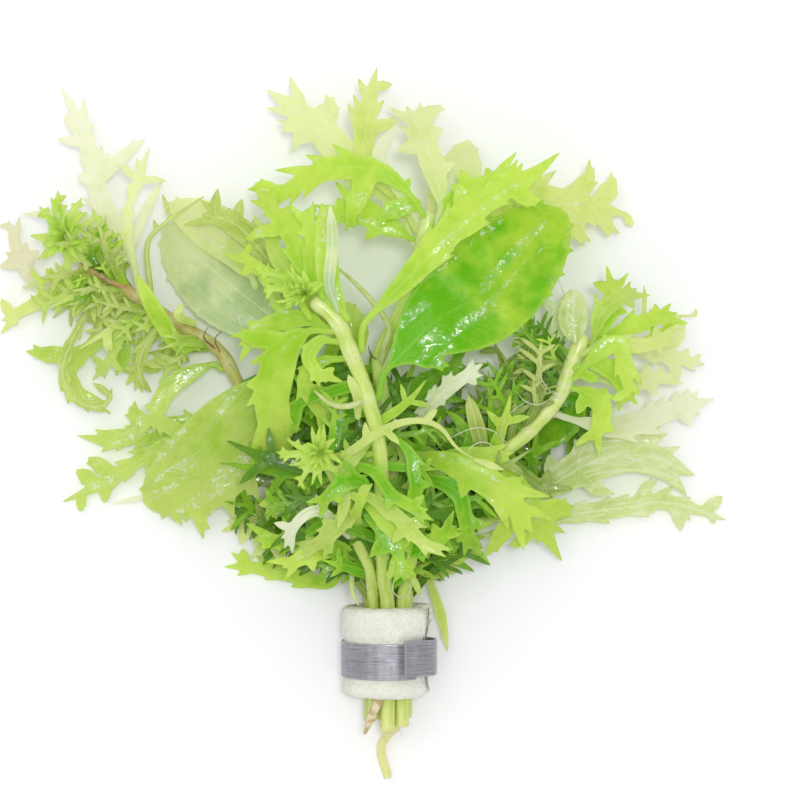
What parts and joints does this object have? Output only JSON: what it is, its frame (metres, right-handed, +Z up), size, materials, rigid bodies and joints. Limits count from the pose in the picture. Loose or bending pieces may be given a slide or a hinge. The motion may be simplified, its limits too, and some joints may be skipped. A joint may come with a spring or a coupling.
{
  "type": "water wisteria bunch",
  "caption": "Cut bunch of water wisteria lying on its side: fleshy stems with deeply lobed green leaves, wrapped in a rolled foam strip and a soft grey metal strip.",
  "frame": {"origin": "middle of the metal strip's flat underside, on the surface the bunch lies on", "axes": "+Z up, +Y from the cut ends to the leaf tips, +X to the right seen from above with the cut ends down"},
  "size_m": [0.2081, 0.2019, 0.0504],
  "materials": {
    "leaf_bright": "wet, thin and translucent",
    "leaf_green": "wet, thin and translucent",
    "leaf_dark": "wet, glossy",
    "leaf_pale": "pale, silky, veined",
    "leaf_underside": "silvery underside",
    "stem": "fleshy, satin",
    "stem_red": "fleshy, satin",
    "foam": "fine open pores, matt",
    "soft_metal": "dull, drawn lengthwise"
  },
  "bodies": {
    "root": {"leaf_bright_left": "leaf_bright", "leaf_bright_low_right": "leaf_bright", "leaf_bright_right": "leaf_bright", "leaf_broad_right": "leaf_bright", "leaf_centre_low": "leaf_bright", "leaf_fine_top": "leaf_bright", "leaf_folded_right": "leaf_bright", "leaf_hanging_right": "leaf_bright", "leaf_left_branch": "leaf_bright", "leaf_left_narrow": "leaf_bright", "leaf_long_right": "leaf_bright", "leaf_low": "leaf_bright", "leaf_right_top": "leaf_bright", "leaf_sprig_front": "leaf_bright", "leaf_thin_arched": "leaf_bright", "leaf_top_arched": "leaf_bright", "leaf_top_centre": "leaf_bright", "leaf_top_folded": "leaf_bright", "leaf_top_left": "leaf_bright", "leaf_upright": "leaf_bright", "shoot_tip_centre": "leaf_bright", "shoot_tip_left": "leaf_bright", "leaf_broad_left": "leaf_green", "leaf_left_dark": "leaf_green", "leaf_left_low": "leaf_green", "leaf_low_right_pale": "leaf_green", "leaf_low_yellow": "leaf_green", "leaf_narrow_right": "leaf_green", "leaf_needle_right": "leaf_green", "leaf_sprig_curled": "leaf_green", "leaf_sprig_hanging": "leaf_green", "leaf_sprig_yellow": "leaf_green", "leaf_top_back": "leaf_green", "shoot_tip_sprig": "leaf_green", "leaf_dark_centre": "leaf_dark", "leaf_dark_right": "leaf_dark", "leaf_fine_right": "leaf_dark", "leaf_olive": "leaf_dark", "leaf_broad_back": "leaf_pale", "leaf_broad_grey": "leaf_pale", "leaf_long_low": "leaf_pale", "leaf_pale_low_right": "leaf_pale", "leaf_pale_right": "leaf_pale", "leaf_pale_upright": "leaf_pale", "leaf_sprig_pink": "leaf_pale", "leaf_sprig_tall": "leaf_pale", "leaf_sprig_thin": "leaf_pale", "leaf_striped_right": "leaf_pale", "leaf_silver": "leaf_underside", "leaf_white_underside": "leaf_underside", "stem_1": "stem", "stem_2": "stem", "stem_3": "stem", "stem_5": "stem", "stem_6": "stem", "stem_7": "stem", "stem_8": "stem", "stem_4": "stem_red", "foam_wrap": "foam", "metal_strip": "soft_metal"}
  },
  "joints": []
}
